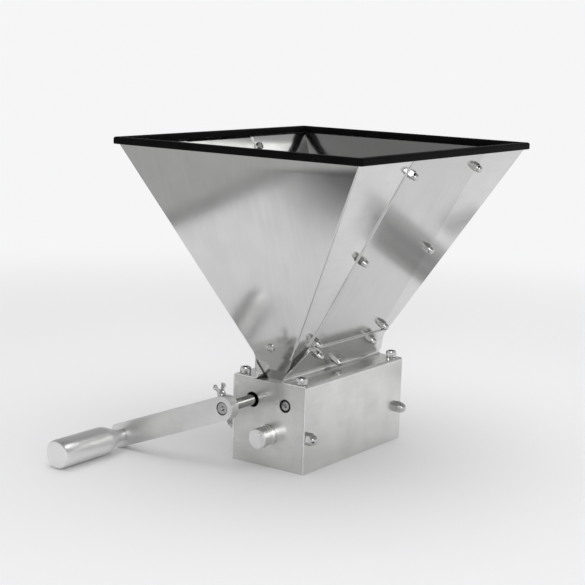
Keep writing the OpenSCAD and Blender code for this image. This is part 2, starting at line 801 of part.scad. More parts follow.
// Low head screw that holds the washer on the pin, flush with the arm's back
module grip_screw() {
    color(bright) behind_pin() translate([0, 0, -grip_washer_t]) {
        cylinder(d = grip_thread, h = grip_washer_t + grip_screw_l);
        translate([0, 0, -grip_screw_head_h]) difference() {
            cylinder(d = 1.8 * grip_thread, h = grip_screw_head_h);
            translate([0, 0, -past])
                cylinder(d = 0.7 * grip_thread, h = past + grip_screw_head_h / 2, $fn = 6);
        }
    }
}

front_end_plate();
rear_end_plate();
left_cover();
right_cover();
cover_screws();
lock_studs();
dome_nuts();
front_drive_bush();
rear_drive_bush();
front_idler_bush();
rear_idler_bush();
drive_shaft();
drive_roller();
idler_axle();
idler_roller();
lower_axle();
lower_roller();
front_adjuster();
rear_adjuster();
hopper_front_panel();
hopper_rear_panel();
hopper_left_panel();
hopper_right_panel();
seam_screws();
seam_nuts();
neck_screws();
neck_nuts();
end_screws();
end_nuts();
rim_trim();
crank_arm();
crank_wing_screw();
grip();
grip_pin();
grip_washer();
grip_screw();
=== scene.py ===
import math
import random

import bmesh
import bpy
from mathutils import Matrix, Vector


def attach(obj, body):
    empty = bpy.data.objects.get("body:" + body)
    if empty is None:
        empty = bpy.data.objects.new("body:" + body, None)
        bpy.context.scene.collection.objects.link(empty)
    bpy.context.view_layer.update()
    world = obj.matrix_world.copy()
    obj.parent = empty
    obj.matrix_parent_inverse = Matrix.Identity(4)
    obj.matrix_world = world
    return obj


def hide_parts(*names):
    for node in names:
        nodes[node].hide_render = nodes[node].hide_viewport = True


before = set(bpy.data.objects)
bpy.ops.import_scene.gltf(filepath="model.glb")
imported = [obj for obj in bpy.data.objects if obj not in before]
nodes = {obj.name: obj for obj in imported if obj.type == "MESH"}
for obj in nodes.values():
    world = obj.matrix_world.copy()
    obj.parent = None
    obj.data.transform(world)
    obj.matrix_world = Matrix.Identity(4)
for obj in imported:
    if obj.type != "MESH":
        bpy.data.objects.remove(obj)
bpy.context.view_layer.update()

# End plates. Two 12 mm plates of satin ground steel that hold all bearings.
# They are sawn, ground flat in soft swirls, bored and tapped; the covers are
# screwed to them.

CLOUD_SCALE = 38.0
WAVE_SCALE = 13.0
NOISE_LOW = 0.32
NOISE_HIGH = 0.68


def blank(name):
    """A new finish, its node tree and its surface node."""
    finish = bpy.data.materials.new(name)
    finish.use_nodes = True
    return finish, finish.node_tree, finish.node_tree.nodes["Principled BSDF"]


def add(tree, kind, values=None):
    """A new node in a tree, with values set on its sockets."""
    made = tree.nodes.new("ShaderNode" + kind)
    for socket, value in (values or {}).items():
        made.inputs[socket].default_value = value
    return made


def metal(name, tone, rough, grain, streak=0.05, cloud=0.06, relief=0.000002, wave=0.0, flow=0.0, lathe=None):
    """A metal finish: fine lines along the small numbers of grain, soft clouds, and slow waves in sheet."""
    finish, tree, shader = blank(name)
    link = tree.links.new
    shader.inputs["Metallic"].default_value = 1.0
    shader.inputs["Anisotropic"].default_value = flow
    place = add(tree, "TexCoord").outputs["Object"]
    stretch = add(tree, "Mapping", {"Scale": grain})
    link(place, stretch.inputs["Vector"])
    noises = []
    for scale, detail, source in ((1.0, 3.0, stretch.outputs["Vector"]), (CLOUD_SCALE, 3.0, place),
                                  (WAVE_SCALE, 1.0, place)):
        noise = add(tree, "TexNoise", {"Scale": scale, "Detail": detail})
        link(source, noise.inputs["Vector"])
        noises.append(noise.outputs["Fac"])
    lines, clouds, waves = noises
    mixed = add(tree, "Mix", {"Factor": streak / (streak + cloud)})
    link(clouds, mixed.inputs["A"])
    link(lines, mixed.inputs["B"])
    shade = add(tree, "MapRange", {"From Min": NOISE_LOW, "From Max": NOISE_HIGH})
    link(mixed.outputs["Result"], shade.inputs["Value"])
    tint = add(tree, "Mix")
    tint.data_type = "RGBA"
    tint.inputs["A"].default_value = [c * (1 - streak - cloud) for c in tone] + [1]
    tint.inputs["B"].default_value = list(tone) + [1]
    link(shade.outputs["Result"], tint.inputs["Factor"])
    link(tint.outputs["Result"], shader.inputs["Base Color"])
    dull = add(tree, "MapRange", {"To Min": rough * 1.2, "To Max": rough * 0.85})
    link(shade.outputs["Result"], dull.inputs["Value"])
    link(dull.outputs["Result"], shader.inputs["Roughness"])
    raised = add(tree, "Bump", {"Strength": 1.0, "Distance": relief})
    link(lines, raised.inputs["Height"])
    if wave:
        rolled = add(tree, "Bump", {"Strength": 1.0, "Distance": wave})
        link(waves, rolled.inputs["Height"])
        link(rolled.outputs["Normal"], raised.inputs["Normal"])
    link(raised.outputs["Normal"], shader.inputs["Normal"])
    if lathe:
        grooves = add(tree, "Tangent")
        grooves.direction_type = "RADIAL"
        grooves.axis = lathe
        link(grooves.outputs["Tangent"], shader.inputs["Tangent"])
    return finish


def dress(node, finish):
    """Gives a solid of the frame its finish."""
    for slot in nodes[node].material_slots:
        slot.material = finish


ground_steel = metal("ground_steel", (0.72, 0.72, 0.70), 0.30, (160, 60, 240), cloud=0.12, wave=0.00003)
for node in ("front_end_plate", "rear_end_plate"):
    dress(node, ground_steel)

# Covers. Each is one 1.5 mm bright stainless sheet, laser cut and bent on a brake
# to a side, a top and a hooked wing that carries the hopper. Its cut edges get a
# paler metal colour: partly the bright deburred edge, partly a painted highlight for its glints.

BODY_X = 0.080
BODY_Y = 0.040
BODY_TOP = 0.080
COVER = 0.0015
COVER_BEND = 0.0025
COVER_DEBURR = 0.00025
WING_BEND = 0.0020
WING_L = 0.0275
WING_FOOT_X = 0.0765
WING_TOP_X = 0.0580
WING_REAR_X = 0.0645
WING_SQUARE = 0.0040
PLATE_TOP = BODY_TOP - COVER
COLLAR_Z = 0.2820
COLLAR_X = 0.1405
COLLAR_Y = 0.1260
NECK_X = 0.0684
NECK_Y = 0.0085
SHEET = 0.0012
SHEET_CREASE = 50
WELD = 0.000002
END_LEAN = math.atan((COLLAR_X - NECK_X) / (COLLAR_Z - PLATE_TOP))
SIDE_LEAN = math.atan((COLLAR_Y - NECK_Y) / (COLLAR_Z - PLATE_TOP))


def side_y(z):
    """Half the hopper's width at the folds, at a height."""
    return COLLAR_Y - math.tan(SIDE_LEAN) * max(0.0, COLLAR_Z - z)


def arc(centre, radius, start, end, steps):
    """Points on a bend, from one angle to another in degrees."""
    turn = [math.radians(start + (end - start) * i / steps) for i in range(steps + 1)]
    return [(centre[0] + radius * math.cos(a), centre[1] + radius * math.sin(a)) for a in turn]


def piece(name, points, faces, finishes, soften=0.0, crease=38, skin=None):
    """A mesh piece with welded points, softened edges and smooth faces between creases."""
    mesh = bpy.data.meshes.new(name)
    mesh.from_pydata([tuple(p) for p in points], [], faces)
    if skin is not None:
        for face in mesh.polygons[skin:]:
            face.material_index = 1
    shape = bmesh.new()
    shape.from_mesh(mesh)
    bmesh.ops.remove_doubles(shape, verts=shape.verts, dist=WELD)
    bmesh.ops.recalc_face_normals(shape, faces=shape.faces)
    bent = math.radians(crease)
    if soften:
        hard = [e for e in shape.edges if len(e.link_faces) == 2 and e.calc_face_angle() > bent]
        bmesh.ops.bevel(shape, geom=hard, offset=soften, segments=2, profile=0.5,
                        affect="EDGES", clamp_overlap=True)
    for edge in shape.edges:
        edge.smooth = len(edge.link_faces) == 2 and edge.calc_face_angle() < bent
    for face in shape.faces:
        face.smooth = True
    shape.to_mesh(mesh)
    shape.free()
    for finish in finishes:
        mesh.materials.append(finish)
    made = bpy.data.objects.new(name, mesh)
    bpy.context.scene.collection.objects.link(made)
    if soften:
        even = made.modifiers.new("even_shading", "WEIGHTED_NORMAL")
        even.keep_sharp = True
    return made


def shell(outer, inner):
    """Points and faces of a sheet between two like grids, and how many faces its two skins have."""
    rows, cols = len(outer), len(outer[0])
    points = [p for row in outer for p in row] + [p for row in inner for p in row]
    back = rows * cols
    faces = []
    for r in range(rows - 1):
        for c in range(cols - 1):
            quad = (r * cols + c, r * cols + c + 1, (r + 1) * cols + c + 1, (r + 1) * cols + c)
            faces.append(quad)
            faces.append(tuple(back + k for k in reversed(quad)))
    skin = len(faces)
    for r in range(rows - 1):
        for c in (0, cols - 1):
            faces.append((r * cols + c, (r + 1) * cols + c, back + (r + 1) * cols + c, back + r * cols + c))
    for c in range(cols - 1):
        for r in (0, rows - 1):
            faces.append((r * cols + c, r * cols + c + 1, back + r * cols + c + 1, back + r * cols + c))
    return points, faces, skin


def turned_half(points):
    """The same points turned half a turn about the upright axis."""
    return [(-p[0], -p[1], p[2]) for p in points]


cover_sheet = metal("cover_sheet", (0.78, 0.78, 0.765), 0.22, (26, 300, 260),
                    streak=0.04, cloud=0.12, relief=0.000001, wave=0.00006)
# A paler metal for all cut edges: partly the bright deburred edge, partly a painted highlight standing in for
# glints.
cut_edge_painted_glint = metal("cut_edge_painted_glint", (0.97, 0.97, 0.96), 0.30, (300, 300, 300), streak=0.05, cloud=0.05)

lean = math.degrees(SIDE_LEAN)
wing_out = WING_BEND + COVER
wing_z = BODY_TOP + WING_BEND
wing_y = -side_y(wing_z) - (SHEET + wing_out) / math.cos(SIDE_LEAN)
wing_top_z = wing_z + (WING_BEND + COVER / 2) * math.sin(SIDE_LEAN) + WING_L * math.cos(SIDE_LEAN)
square_z = wing_z + WING_SQUARE
spread = [i / 12 for i in range(13)]


def wing_tip(hook):
    """The wing's upper edge on the face that the hook bends to a radius."""
    y = wing_y + hook * math.cos(SIDE_LEAN) - WING_L * math.sin(SIDE_LEAN)
    return y, wing_z + hook * math.sin(SIDE_LEAN) + WING_L * math.cos(SIDE_LEAN)


def cover_line(bend, hook, side):
    """The cover's section from the foot of its side to the wing's upper edge."""
    line = [(side, 0.0)] + arc((-BODY_Y + COVER_BEND, BODY_TOP - COVER_BEND), bend, 180, 90, 6)
    line += arc((wing_y, wing_z), hook, -90, lean, 10)
    bent_y, bent_z = line[-1]
    tip_y, tip_z = wing_tip(hook)
    square_y = bent_y + (tip_y - bent_y) * (square_z - bent_z) / (tip_z - bent_z)
    return line + [(square_y, square_z), (tip_y, tip_z)]


def front_end(z):
    """The cover's near end at a height: full below the top, tapered along the wing."""
    if z <= BODY_TOP:
        return -BODY_X
    if z <= wing_z:
        return -BODY_X + (BODY_X - WING_FOOT_X) * (z - BODY_TOP) / WING_BEND
    return -WING_FOOT_X + (WING_FOOT_X - WING_TOP_X) * (z - wing_z) / (wing_top_z - wing_z)


def rear_end(z):
    """The cover's other end, where the wing has a square foot below its taper."""
    return BODY_X + (WING_REAR_X - BODY_X) * max(0.0, z - square_z) / (wing_top_z - square_z)


def cover_grid(line):
    """Rows of points over one face of the cover, from end to end."""
    return [[(front_end(z) + s * (rear_end(z) - front_end(z)), y, z) for s in spread] for y, z in line]


points, faces, skin = shell(cover_grid(cover_line(COVER_BEND, WING_BEND, -BODY_Y)),
                            cover_grid(cover_line(COVER_BEND - COVER, wing_out, -BODY_Y + COVER)))
for name, node, made in (("left_cover_sheet", "left_cover", points),
                         ("right_cover_sheet", "right_cover", turned_half(points))):
    cover = piece(name, made, faces, [cover_sheet, cut_edge_painted_glint], COVER_DEBURR, SHEET_CREASE, skin)
    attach(cover, "housing")
    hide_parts(node)

# Cover screws. Socket head screws of polished stainless in the covers' corners,
# with straight knurled heads and a broached hexagon socket.

SCREW_X = 0.074
COVER_SCREW_Y = 0.031
COVER_SCREW_R = 0.0030
COVER_SCREW_L = 0.018
SOCKET_HEAD_R = 0.005
SOCKET_HEAD_H = 0.006
SOCKET_WIDE = 0.0050
KNURL_TEETH = 48
KNURL_DEEP = 0.00022


def hexagon(across, angle):
    """Radius of a hexagon of the given width across flats, at an angle."""
    within = (angle + math.pi / 6) % (math.pi / 3) - math.pi / 6
    return across / 2 / math.cos(within)


def turning(rings, steps):
    """Points and faces of rings stacked along Z; a ring is a function of the angle."""
    points, faces = [], []
    for ring in rings:
        for i in range(steps):
            angle = 2 * math.pi * i / steps
            radius, height = ring(angle)
            points.append((radius * math.cos(angle), radius * math.sin(angle), height))
    for r in range(len(rings) - 1):
        for i in range(steps):
            j = (i + 1) % steps
            faces.append((r * steps + i, r * steps + j, (r + 1) * steps + j, (r + 1) * steps + i))
    return points, faces


def ring(radius, height):
    """A plain round ring."""
    return lambda angle: (radius, height)


def round_rings(*sizes):
    """Plain round rings from pairs of radius and height."""
    return [ring(radius, height) for radius, height in sizes]


def knurled(height):
    """A ring of straight teeth round a socket head."""
    return lambda angle: (
        SOCKET_HEAD_R - (KNURL_DEEP if round(angle * KNURL_TEETH / math.pi) % 2 else 0), height)


def socket(height):
    """A hexagon ring of the head's socket."""
    return lambda angle: (hexagon(SOCKET_WIDE, angle), height)


def many(points, faces, places):
    """Copies of one shape at several places, as one list of points and faces."""
    all_points, all_faces = [], []
    for place in places:
        first = len(all_points)
        all_points += [place @ Vector(p) for p in points]
        all_faces += [tuple(first + k for k in f) for f in faces]
    return all_points, all_faces


turns = random.Random(3)


def spin():
    """A chance turn about Z, as screws and nuts end up when tight."""
    return Matrix.Rotation(turns.uniform(0, 6.28), 4, "Z")


polished = metal("polished_stainless", (0.60, 0.60, 0.59), 0.09, (300, 300, 300), streak=0.04, cloud=0.04)
rings = round_rings((0.0, -COVER_SCREW_L), (0.0026, -COVER_SCREW_L), (COVER_SCREW_R, 0.0004 - COVER_SCREW_L),
                    (COVER_SCREW_R, 0.0), (0.0046, 0.0), (0.00478, 0.0005))
rings += [knurled(0.0006), knurled(0.0049)]
rings += round_rings((0.00478, 0.0052), (0.0046, 0.0058), (0.0043, SOCKET_HEAD_H), (0.0031, SOCKET_HEAD_H))
rings += [socket(0.0057), socket(0.0030), ring(0.0, 0.0024)]
shape = turning(rings, 2 * KNURL_TEETH)
places = [Matrix.Translation((x, y, BODY_TOP)) @ spin()
          for x in (-SCREW_X, SCREW_X) for y in (-COVER_SCREW_Y, COVER_SCREW_Y)]
heads = piece("cover_socket_screws", *many(*shape, places), [polished], crease=30)
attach(heads, "housing")
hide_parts("cover_screws")

# Lock studs and their dome nuts. Polished acorn nuts on studs through the sides;
# the studs run in the adjusters' grooves and hold the set gap.

LOCK_Z = 0.0321
LOCK_NUT_W = 0.010
LOCK_NUT_HEX = 0.0045
LOCK_NUT_H = 0.0096
NUT_CREASE = 25


def dome_nut(across, hex_h, tall):
    """A hexagon nut with chamfered corners and a turned dome a little narrower than its flats."""
    dome = 0.47 * across
    waist = tall - dome
    chamfer = 0.52 * across

    def foot(angle):
        return min(hexagon(across, angle), chamfer), 0.0

    def foot_edge(angle):
        radius = hexagon(across, angle)
        return radius, max(0.0, radius - chamfer) * 0.5

    def top_edge(angle):
        radius = hexagon(across, angle)
        return radius, hex_h - max(0.0, radius - chamfer + 0.02 * across) * 0.62

    rings = [ring(0.0, 0.0), foot, foot_edge, top_edge]
    rings += round_rings((0.5 * across, hex_h), (dome, hex_h + 0.02 * across))
    rings += [ring(dome * math.cos(math.radians(a)), waist + dome * math.sin(math.radians(a)))
              for a in (0, 15, 30, 42, 54, 64, 73, 81, 87)]
    rings.append(ring(0.0, tall))
    return turning(rings, 48)


shape = dome_nut(LOCK_NUT_W, LOCK_NUT_HEX, LOCK_NUT_H)
places = [Matrix.Translation((x, s * BODY_Y, LOCK_Z)) @ Matrix.Rotation(-s * math.pi / 2, 4, "X") @ spin()
          for x in (-SCREW_X, SCREW_X) for s in (-1, 1)]
nuts = piece("side_dome_nuts", *many(*shape, places), [polished], crease=NUT_CREASE)
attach(nuts, "housing")
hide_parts("dome_nuts")
dress("lock_studs", polished)

# Bushes. Turned black plastic, pressed into the plates from inside; only a ring
# shows round each shaft.


def matt_black(name, grit_scale, dark, light, rough, shine):
    """A mottled black finish, with the tree, surface, place and shade nodes that a bump can join."""
    finish, tree, shader = blank(name)
    place = add(tree, "TexCoord").outputs["Object"]
    mottle = add(tree, "TexNoise", {"Scale": grit_scale})
    shade = add(tree, "ValToRGB")
    for stop, tone in zip(shade.color_ramp.elements, (dark, light)):
        stop.color = (tone, tone, tone, 1)
    tree.links.new(place, mottle.inputs["Vector"])
    tree.links.new(mottle.outputs["Fac"], shade.inputs["Fac"])
    tree.links.new(shade.outputs["Color"], shader.inputs["Base Color"])
    shader.inputs["Metallic"].default_value = 0.0
    shader.inputs["Roughness"].default_value = rough
    shader.inputs["Specular IOR Level"].default_value = shine
    return finish, tree, shader, place, shade


black_plastic = matt_black("black_bush_plastic", 900.0, 0.004, 0.012, rough=0.6, shine=0.2)[0]
for node in ("front_drive_bush", "rear_drive_bush", "front_idler_bush", "rear_idler_bush"):
    dress(node, black_plastic)

# Shafts and rollers. Drawn bright bar for the drive shaft and the axles; the three
# rollers are turned steel with milled straight flutes.

bright_bar = metal("bright_bar", (0.36, 0.36, 0.35), 0.12, (30, 500, 500), streak=0.05, cloud=0.04)
milled = metal("milled_steel", (0.56, 0.56, 0.55), 0.32, (40, 400, 400), streak=0.08, cloud=0.08)
polished_bar = metal("polished_bar", (0.37, 0.37, 0.36), 0.07, (20, 600, 600), streak=0.06, cloud=0.04)
dress("drive_shaft", polished_bar)
for node in ("idler_axle", "lower_axle"):
    dress(node, bright_bar)
for node in ("drive_roller", "idler_roller", "lower_roller"):
    dress(node, milled)

# Adjusters. Turned bright steel knobs with an index dimple; an eccentric bore in
# each moves the lower roller.

turned_steel = metal("turned_steel", (0.82, 0.82, 0.81), 0.28, (500, 60, 60),
                     streak=0.08, cloud=0.06, relief=0.0000005, flow=0.80, lathe="X")
for node in ("front_adjuster", "rear_adjuster"):
    dress(node, turned_steel)

# Hopper end panels. Bright rolled stainless sheet, folded on a brake: a sloping wall,
# two flanges round the corners, and a tongue that stands on the end plate.

COLLAR_TOP = 0.2865
TONGUE_Z = 0.0995
FOOT_X = 0.0697
FLANGE_X = 0.0500
FLANGE_CUT_X = 0.0643
FLANGE_LOW_Z = 0.1109
FOLD = 0.0017
SHEET_DEBURR = 0.0002
WALL_ROWS = 16
CUT_ROWS = 10
TONGUE_ROWS = 3
FLANGE_COLS = 6
FOLD_COLS = 6
HALF_WALL_COLS = 8


def end_x(z):
    """Half the hopper's length at the folds, at a height; the tongue leans less."""
    if z < TONGUE_Z:
        bent = end_x(TONGUE_Z)
        return FOOT_X + (bent - FOOT_X) * (z - PLATE_TOP) / (TONGUE_Z - PLATE_TOP)
    return COLLAR_X - math.tan(END_LEAN) * max(0.0, COLLAR_Z - z)


def panel_rows():
    """Heights down the panel, each with the X and the height of its flange's free edge."""
    rows = [(COLLAR_TOP, FLANGE_X, COLLAR_TOP)]
    for i in range(WALL_ROWS + 1):
        z = COLLAR_Z - (COLLAR_Z - FLANGE_LOW_Z) * i / WALL_ROWS
        rows.append((z, FLANGE_X, z))
    for i in range(1, CUT_ROWS + 1):
        z = FLANGE_LOW_Z - (FLANGE_LOW_Z - TONGUE_Z) * i / CUT_ROWS
        share = (i - 1) / (CUT_ROWS - 1)
        rows.append((z, FLANGE_CUT_X + (end_x(TONGUE_Z) - FLANGE_CUT_X) * share,
                     FLANGE_LOW_Z + (TONGUE_Z - FLANGE_LOW_Z) * share))
    for i in range(1, TONGUE_ROWS + 1):
        rows.append((TONGUE_Z - (TONGUE_Z - PLATE_TOP) * i / TONGUE_ROWS, None, None))
    return rows


def panel_grid(inset, fold):
    """Rows of points over the folded panel at -X, at a distance inside its outer face."""
    grid = []
    for z, free_x, free_z in panel_rows():
        in_x, in_y = inset, inset
        if z <= COLLAR_Z:
            in_x, in_y = inset / math.cos(END_LEAN), inset / math.cos(SIDE_LEAN)
        x, y = end_x(z) - in_x, side_y(z) - in_y
        if free_x is None or z <= TONGUE_Z:
            half = [(x, side_y(z), z)] * (FLANGE_COLS + FOLD_COLS + 1)
        else:
            free = (min(free_x, x - fold), side_y(free_z) - in_y, free_z)
            start = (x - fold, y, z)
            half = [tuple(a + (b - a) * i / FLANGE_COLS for a, b in zip(free, start))
                    for i in range(FLANGE_COLS)]
            half += [(x - fold + fold * math.sin(t), y - fold + fold * math.cos(t), z)
                     for t in (math.radians(90 * i / FOLD_COLS) for i in range(FOLD_COLS + 1))]
        wall_y = half[-1][1]
        wall = [(x, wall_y * (1 - i / HALF_WALL_COLS), z) for i in range(1, 2 * HALF_WALL_COLS)]
        row = [(-px, py, pz) for px, py, pz in half + wall]
        row += [(-px, -py, pz) for px, py, pz in reversed(half)]
        grid.append(row)
    return grid


end_sheet = metal("bright_end_sheet", (0.72, 0.72, 0.71), 0.13, (30, 420, 10),
                  streak=0.03, cloud=0.05, relief=0.000001, wave=0.00010)
points, faces, skin = shell(panel_grid(0.0, FOLD), panel_grid(SHEET, FOLD - SHEET))
for name, node, made in (("hopper_front_sheet", "hopper_front_panel", points),
                         ("hopper_rear_sheet", "hopper_rear_panel", turned_half(points))):
    panel = piece(name, made, faces, [end_sheet, cut_edge_painted_glint], SHEET_DEBURR, SHEET_CREASE, skin)
    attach(panel, "housing")
    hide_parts(node)

# Hopper side panels. Straight strips of the same sheet, laid over the flanges and
# held between them and the covers' wings.

STRIP_X = 0.060
STRIP_ROWS = 14


def strip_grid(off):
    """Rows of points over the strip at -Y, at a distance outside the fold plane."""
    top_y = -COLLAR_Y - off
    bend_z = COLLAR_Z - off * math.tan(SIDE_LEAN / 2)
    low_y = -side_y(PLATE_TOP) - off / math.cos(SIDE_LEAN)
    line = [(top_y, COLLAR_TOP), (top_y, bend_z)]
    line += [(top_y + (low_y - top_y) * i / STRIP_ROWS, bend_z + (PLATE_TOP - bend_z) * i / STRIP_ROWS)
             for i in range(1, STRIP_ROWS + 1)]
    return [[(STRIP_X * (2 * s - 1), y, z) for s in spread] for y, z in line]


# The strips take a darker colour than the end panels' same sheet: painted shade for their duller look.
painted_shade_side_sheet = metal("bright_painted_shade_side_sheet", (0.64, 0.64, 0.63), 0.13, (420, 30, 10),
                   streak=0.03, cloud=0.05, relief=0.000001, wave=0.00010)
points, faces, skin = shell(strip_grid(SHEET), strip_grid(0.0))
for name, node, made in (("hopper_left_sheet", "hopper_left_panel", points),
                         ("hopper_right_sheet", "hopper_right_panel", turned_half(points))):
    panel = piece(name, made, faces, [painted_shade_side_sheet, cut_edge_painted_glint], SHEET_DEBURR, SHEET_CREASE, skin)
    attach(panel, "housing")
    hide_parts(node)

# Seam and neck fasteners. Small polished dome nuts outside, pan head screws with a
# cross recess inside; they clamp flange, strip and wing.

SEAM_X = 0.055
SEAM_DROPS = (0.0121, 0.1021, 0.1921)
NECK_PLACES = ((-0.044, 0.0055), (0.044, 0.0055), (0.0, 0.022))
SMALL_NUT_W = 0.007
SMALL_NUT_HEX = 0.0032
SMALL_NUT_H = 0.0080
PAN_W = 0.008
PAN_H = 0.0024
PAN_CREASE = 30
SHANK_L = 0.0056
SHANK_R = 0.0019
wing_foot = (COLLAR_Z - wing_z - (SHEET + wing_out) * math.sin(SIDE_LEAN)) / math.cos(SIDE_LEAN)
wing_edge = wing_foot - WING_L


def on_side(x, drop, off, half_turn):
    """A place on a side panel, Z along its outward normal."""
    y = -COLLAR_Y + drop * math.sin(SIDE_LEAN) - off * math.cos(SIDE_LEAN)
    z = COLLAR_Z - drop * math.cos(SIDE_LEAN) - off * math.sin(SIDE_LEAN)
    spot = Matrix.Translation((x, y, z)) @ Matrix.Rotation(math.pi / 2 + SIDE_LEAN, 4, "X")
    return Matrix.Rotation(math.pi if half_turn else 0.0, 4, "Z") @ spot


def pan_head(across, tall):
    """A domed screw head standing on Z = 0 towards +Z, with a cross recess and a shank below."""
    half = across / 2

    def crown(radius):
        return tall * (1 - 0.25 * (radius / half) ** 2)

    def recess(radius, depth):
        def bent(angle):
            arm = abs((angle + math.pi / 4) % (math.pi / 2) - math.pi / 4)
            reach = min(1.0, 0.15 * across / max(radius * abs(math.sin(arm)), 0.00001))
            return radius, depth if reach >= 0.8 else crown(radius)
        return bent

    rings = round_rings((0.0, -SHANK_L), (0.0017, -SHANK_L), (SHANK_R, 0.0002 - SHANK_L), (SHANK_R, 0.0),
                        (half * 0.94, 0.0), (half, 0.12 * tall), (half, 0.5 * tall),
                        (half * 0.94, 0.72 * tall), (half * 0.82, crown(half * 0.82)),
                        (half * 0.62, crown(half * 0.62)))
    rings += [recess(half * 0.56, 0.62 * tall), recess(half * 0.40, 0.5 * tall),
              recess(half * 0.22, 0.4 * tall), ring(0.0, 0.3 * tall)]
    return turning(rings, 64)


def flip(depth):
    """Turns a place round, so that Z points into the hopper from the other face."""
    return Matrix.Translation((0, 0, -depth)) @ Matrix.Rotation(math.pi, 4, "X")


small_nut = dome_nut(SMALL_NUT_W, SMALL_NUT_HEX, SMALL_NUT_H)
small_pan = pan_head(PAN_W, PAN_H)
seams = [on_side(x, drop, SHEET, half_turn) for half_turn in (False, True)
         for x in (-SEAM_X, SEAM_X) for drop in SEAM_DROPS]
necks = [on_side(x, wing_edge + drop, SHEET + COVER, half_turn) for half_turn in (False, True)
         for x, drop in NECK_PLACES]
for name, places, depth, nut_node, screw_node in (("seam", seams, 2 * SHEET, "seam_nuts", "seam_screws"),
                                                  ("neck", necks, SHEET + COVER, "neck_nuts", "neck_screws")):
    nuts = piece(name + "_dome_nuts", *many(*small_nut, [p @ spin() for p in places]), [polished],
                 crease=NUT_CREASE)
    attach(nuts, "housing")
    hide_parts(nut_node)
    heads = piece(name + "_pan_heads", *many(*small_pan, [p @ flip(depth) @ spin() for p in places]),
                  [polished], crease=PAN_CREASE)
    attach(heads, "housing")
    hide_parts(screw_node)

# End screws. One pan head screw low in each end panel, its head outside and a plain
# nut inside.

END_SCREW_Z = 0.1088

spot = (Matrix.Translation((-end_x(END_SCREW_Z), 0, END_SCREW_Z))
        @ Matrix.Rotation(-math.pi / 2 - END_LEAN, 4, "Y"))
places = [spot, Matrix.Rotation(math.pi, 4, "Z") @ spot]
heads = piece("end_pan_heads", *many(*small_pan, [p @ spin() for p in places]), [polished], crease=PAN_CREASE)
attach(heads, "housing")
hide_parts("end_screws")
dress("end_nuts", polished)

# Rim trim. Black rubber edging pushed over the hopper's upright collar, bent round
# the corners and butted on the long side.

TRIM_LOW = 0.2824
TRIM_TOP = 0.2886
TRIM_WALL = 0.0030
TRIM_CORNER = 0.0030
TRIM_BEVEL = 0.0006
TRIM_ROUND = ((0.0, 0.0017), (0.0003, 0.0008), (0.0010, 0.0002), (0.0019, 0.0))
JOINT_X = 0.0630
JOINT_W = 0.0004

rubber, tree, shader, place, shade = matt_black("black_rubber", 60.0, 0.001, 0.003, rough=0.6, shine=0.07)
for stop, position in zip(shade.color_ramp.elements, (0.3, 0.8)):
    stop.position = position
grit = add(tree, "TexNoise", {"Scale": 1400.0, "Detail": 3.0})
raised = add(tree, "Bump", {"Strength": 0.5, "Distance": 0.00004})
tree.links.new(place, grit.inputs["Vector"])
tree.links.new(grit.outputs["Fac"], raised.inputs["Height"])
tree.links.new(raised.outputs["Normal"], shader.inputs["Normal"])

lip = SHEET + TRIM_WALL
half = [(SHEET, TRIM_LOW), (lip - TRIM_BEVEL, TRIM_LOW), (lip, TRIM_LOW + TRIM_BEVEL)]
half += [(lip - back, TRIM_TOP - down) for back, down in TRIM_ROUND]
section = half + [(-off, z) for off, z in reversed(half)] + [(-SHEET, COLLAR_TOP), (SHEET, COLLAR_TOP)]


def trim_path(off):
    """The trim's route round the rim, offset outwards, from one side of its joint to the other."""
    half_x, half_y = COLLAR_X + off, COLLAR_Y + off
    radius = max(TRIM_CORNER - lip + off, 0.00005)
    route = [(JOINT_X + JOINT_W, -half_y)]
    for sx, sy, start in ((1, -1, -90), (1, 1, 0), (-1, 1, 90), (-1, -1, 180)):
        route += arc((sx * (half_x - radius), sy * (half_y - radius)), radius, start, start + 90, 8)
    return route + [(JOINT_X, -half_y)]


routes = [[(x, y, z) for x, y in trim_path(off)] for off, z in section]
count = len(routes[0])
points = [p for route in routes for p in route]
faces = []
for k in range(len(routes)):
    near, far = k * count, (k + 1) % len(routes) * count
    faces += [(near + i, near + i + 1, far + i + 1, far + i) for i in range(count - 1)]
faces += [tuple(k * count for k in range(len(routes))),
          tuple(k * count + count - 1 for k in reversed(range(len(routes))))]
trim = piece("rim_rubber", points, faces, [rubber], crease=40)
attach(trim, "housing")
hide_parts("rim_trim")

# Crank arm. A flat bar of satin aluminium with a round hub end, a countersunk shaft
# hole, deburred edges, and a pocket in its back for the grip's screw.

SHAFT_Y = 0.018
SHAFT_Z = 0.059
CRANK_L = 0.125
CRANK_DROP = math.asin(0.0457 / CRANK_L)
ARM_FRONT_X = -0.124
ARM_BACK_X = -0.114
ARM_HALF_W = 0.011
ARM_TIP = 0.1355
ARM_CORNER = 0.004
ARM_DEBURR = 0.0003
COUNTERSINK_R = 0.006
SHAFT_HOLE_R = 0.00505
PIN_HOLE_R = 0.00405
POCKET_R = 0.0075
POCKET_X = -0.118

corner_y = ARM_TIP - ARM_CORNER
corner_z = ARM_HALF_W - ARM_CORNER
outline = arc((0, 0), ARM_HALF_W, 90, 270, 40)
outline += arc((corner_y, -corner_z), ARM_CORNER, -90, 0, 8) + arc((corner_y, corner_z), ARM_CORNER, 0, 90, 8)
shape = bmesh.new()


def loop(flat, x):
    """Points of a closed line at one X, in the arm's own frame."""
    return [shape.verts.new((x, y, z)) for y, z in flat]


def hole(centre_y, radius, x):
    """Points of a round hole's edge at one X."""
    return loop(arc((centre_y, 0), radius, 0, 360, 48)[:-1], x)


def bridge(near, far, finish=0):
    """A band of faces between two like closed lines."""
    for i in range(len(near)):
        j = (i + 1) % len(near)
        shape.faces.new((near[i], near[j], far[j], far[i])).material_index = finish


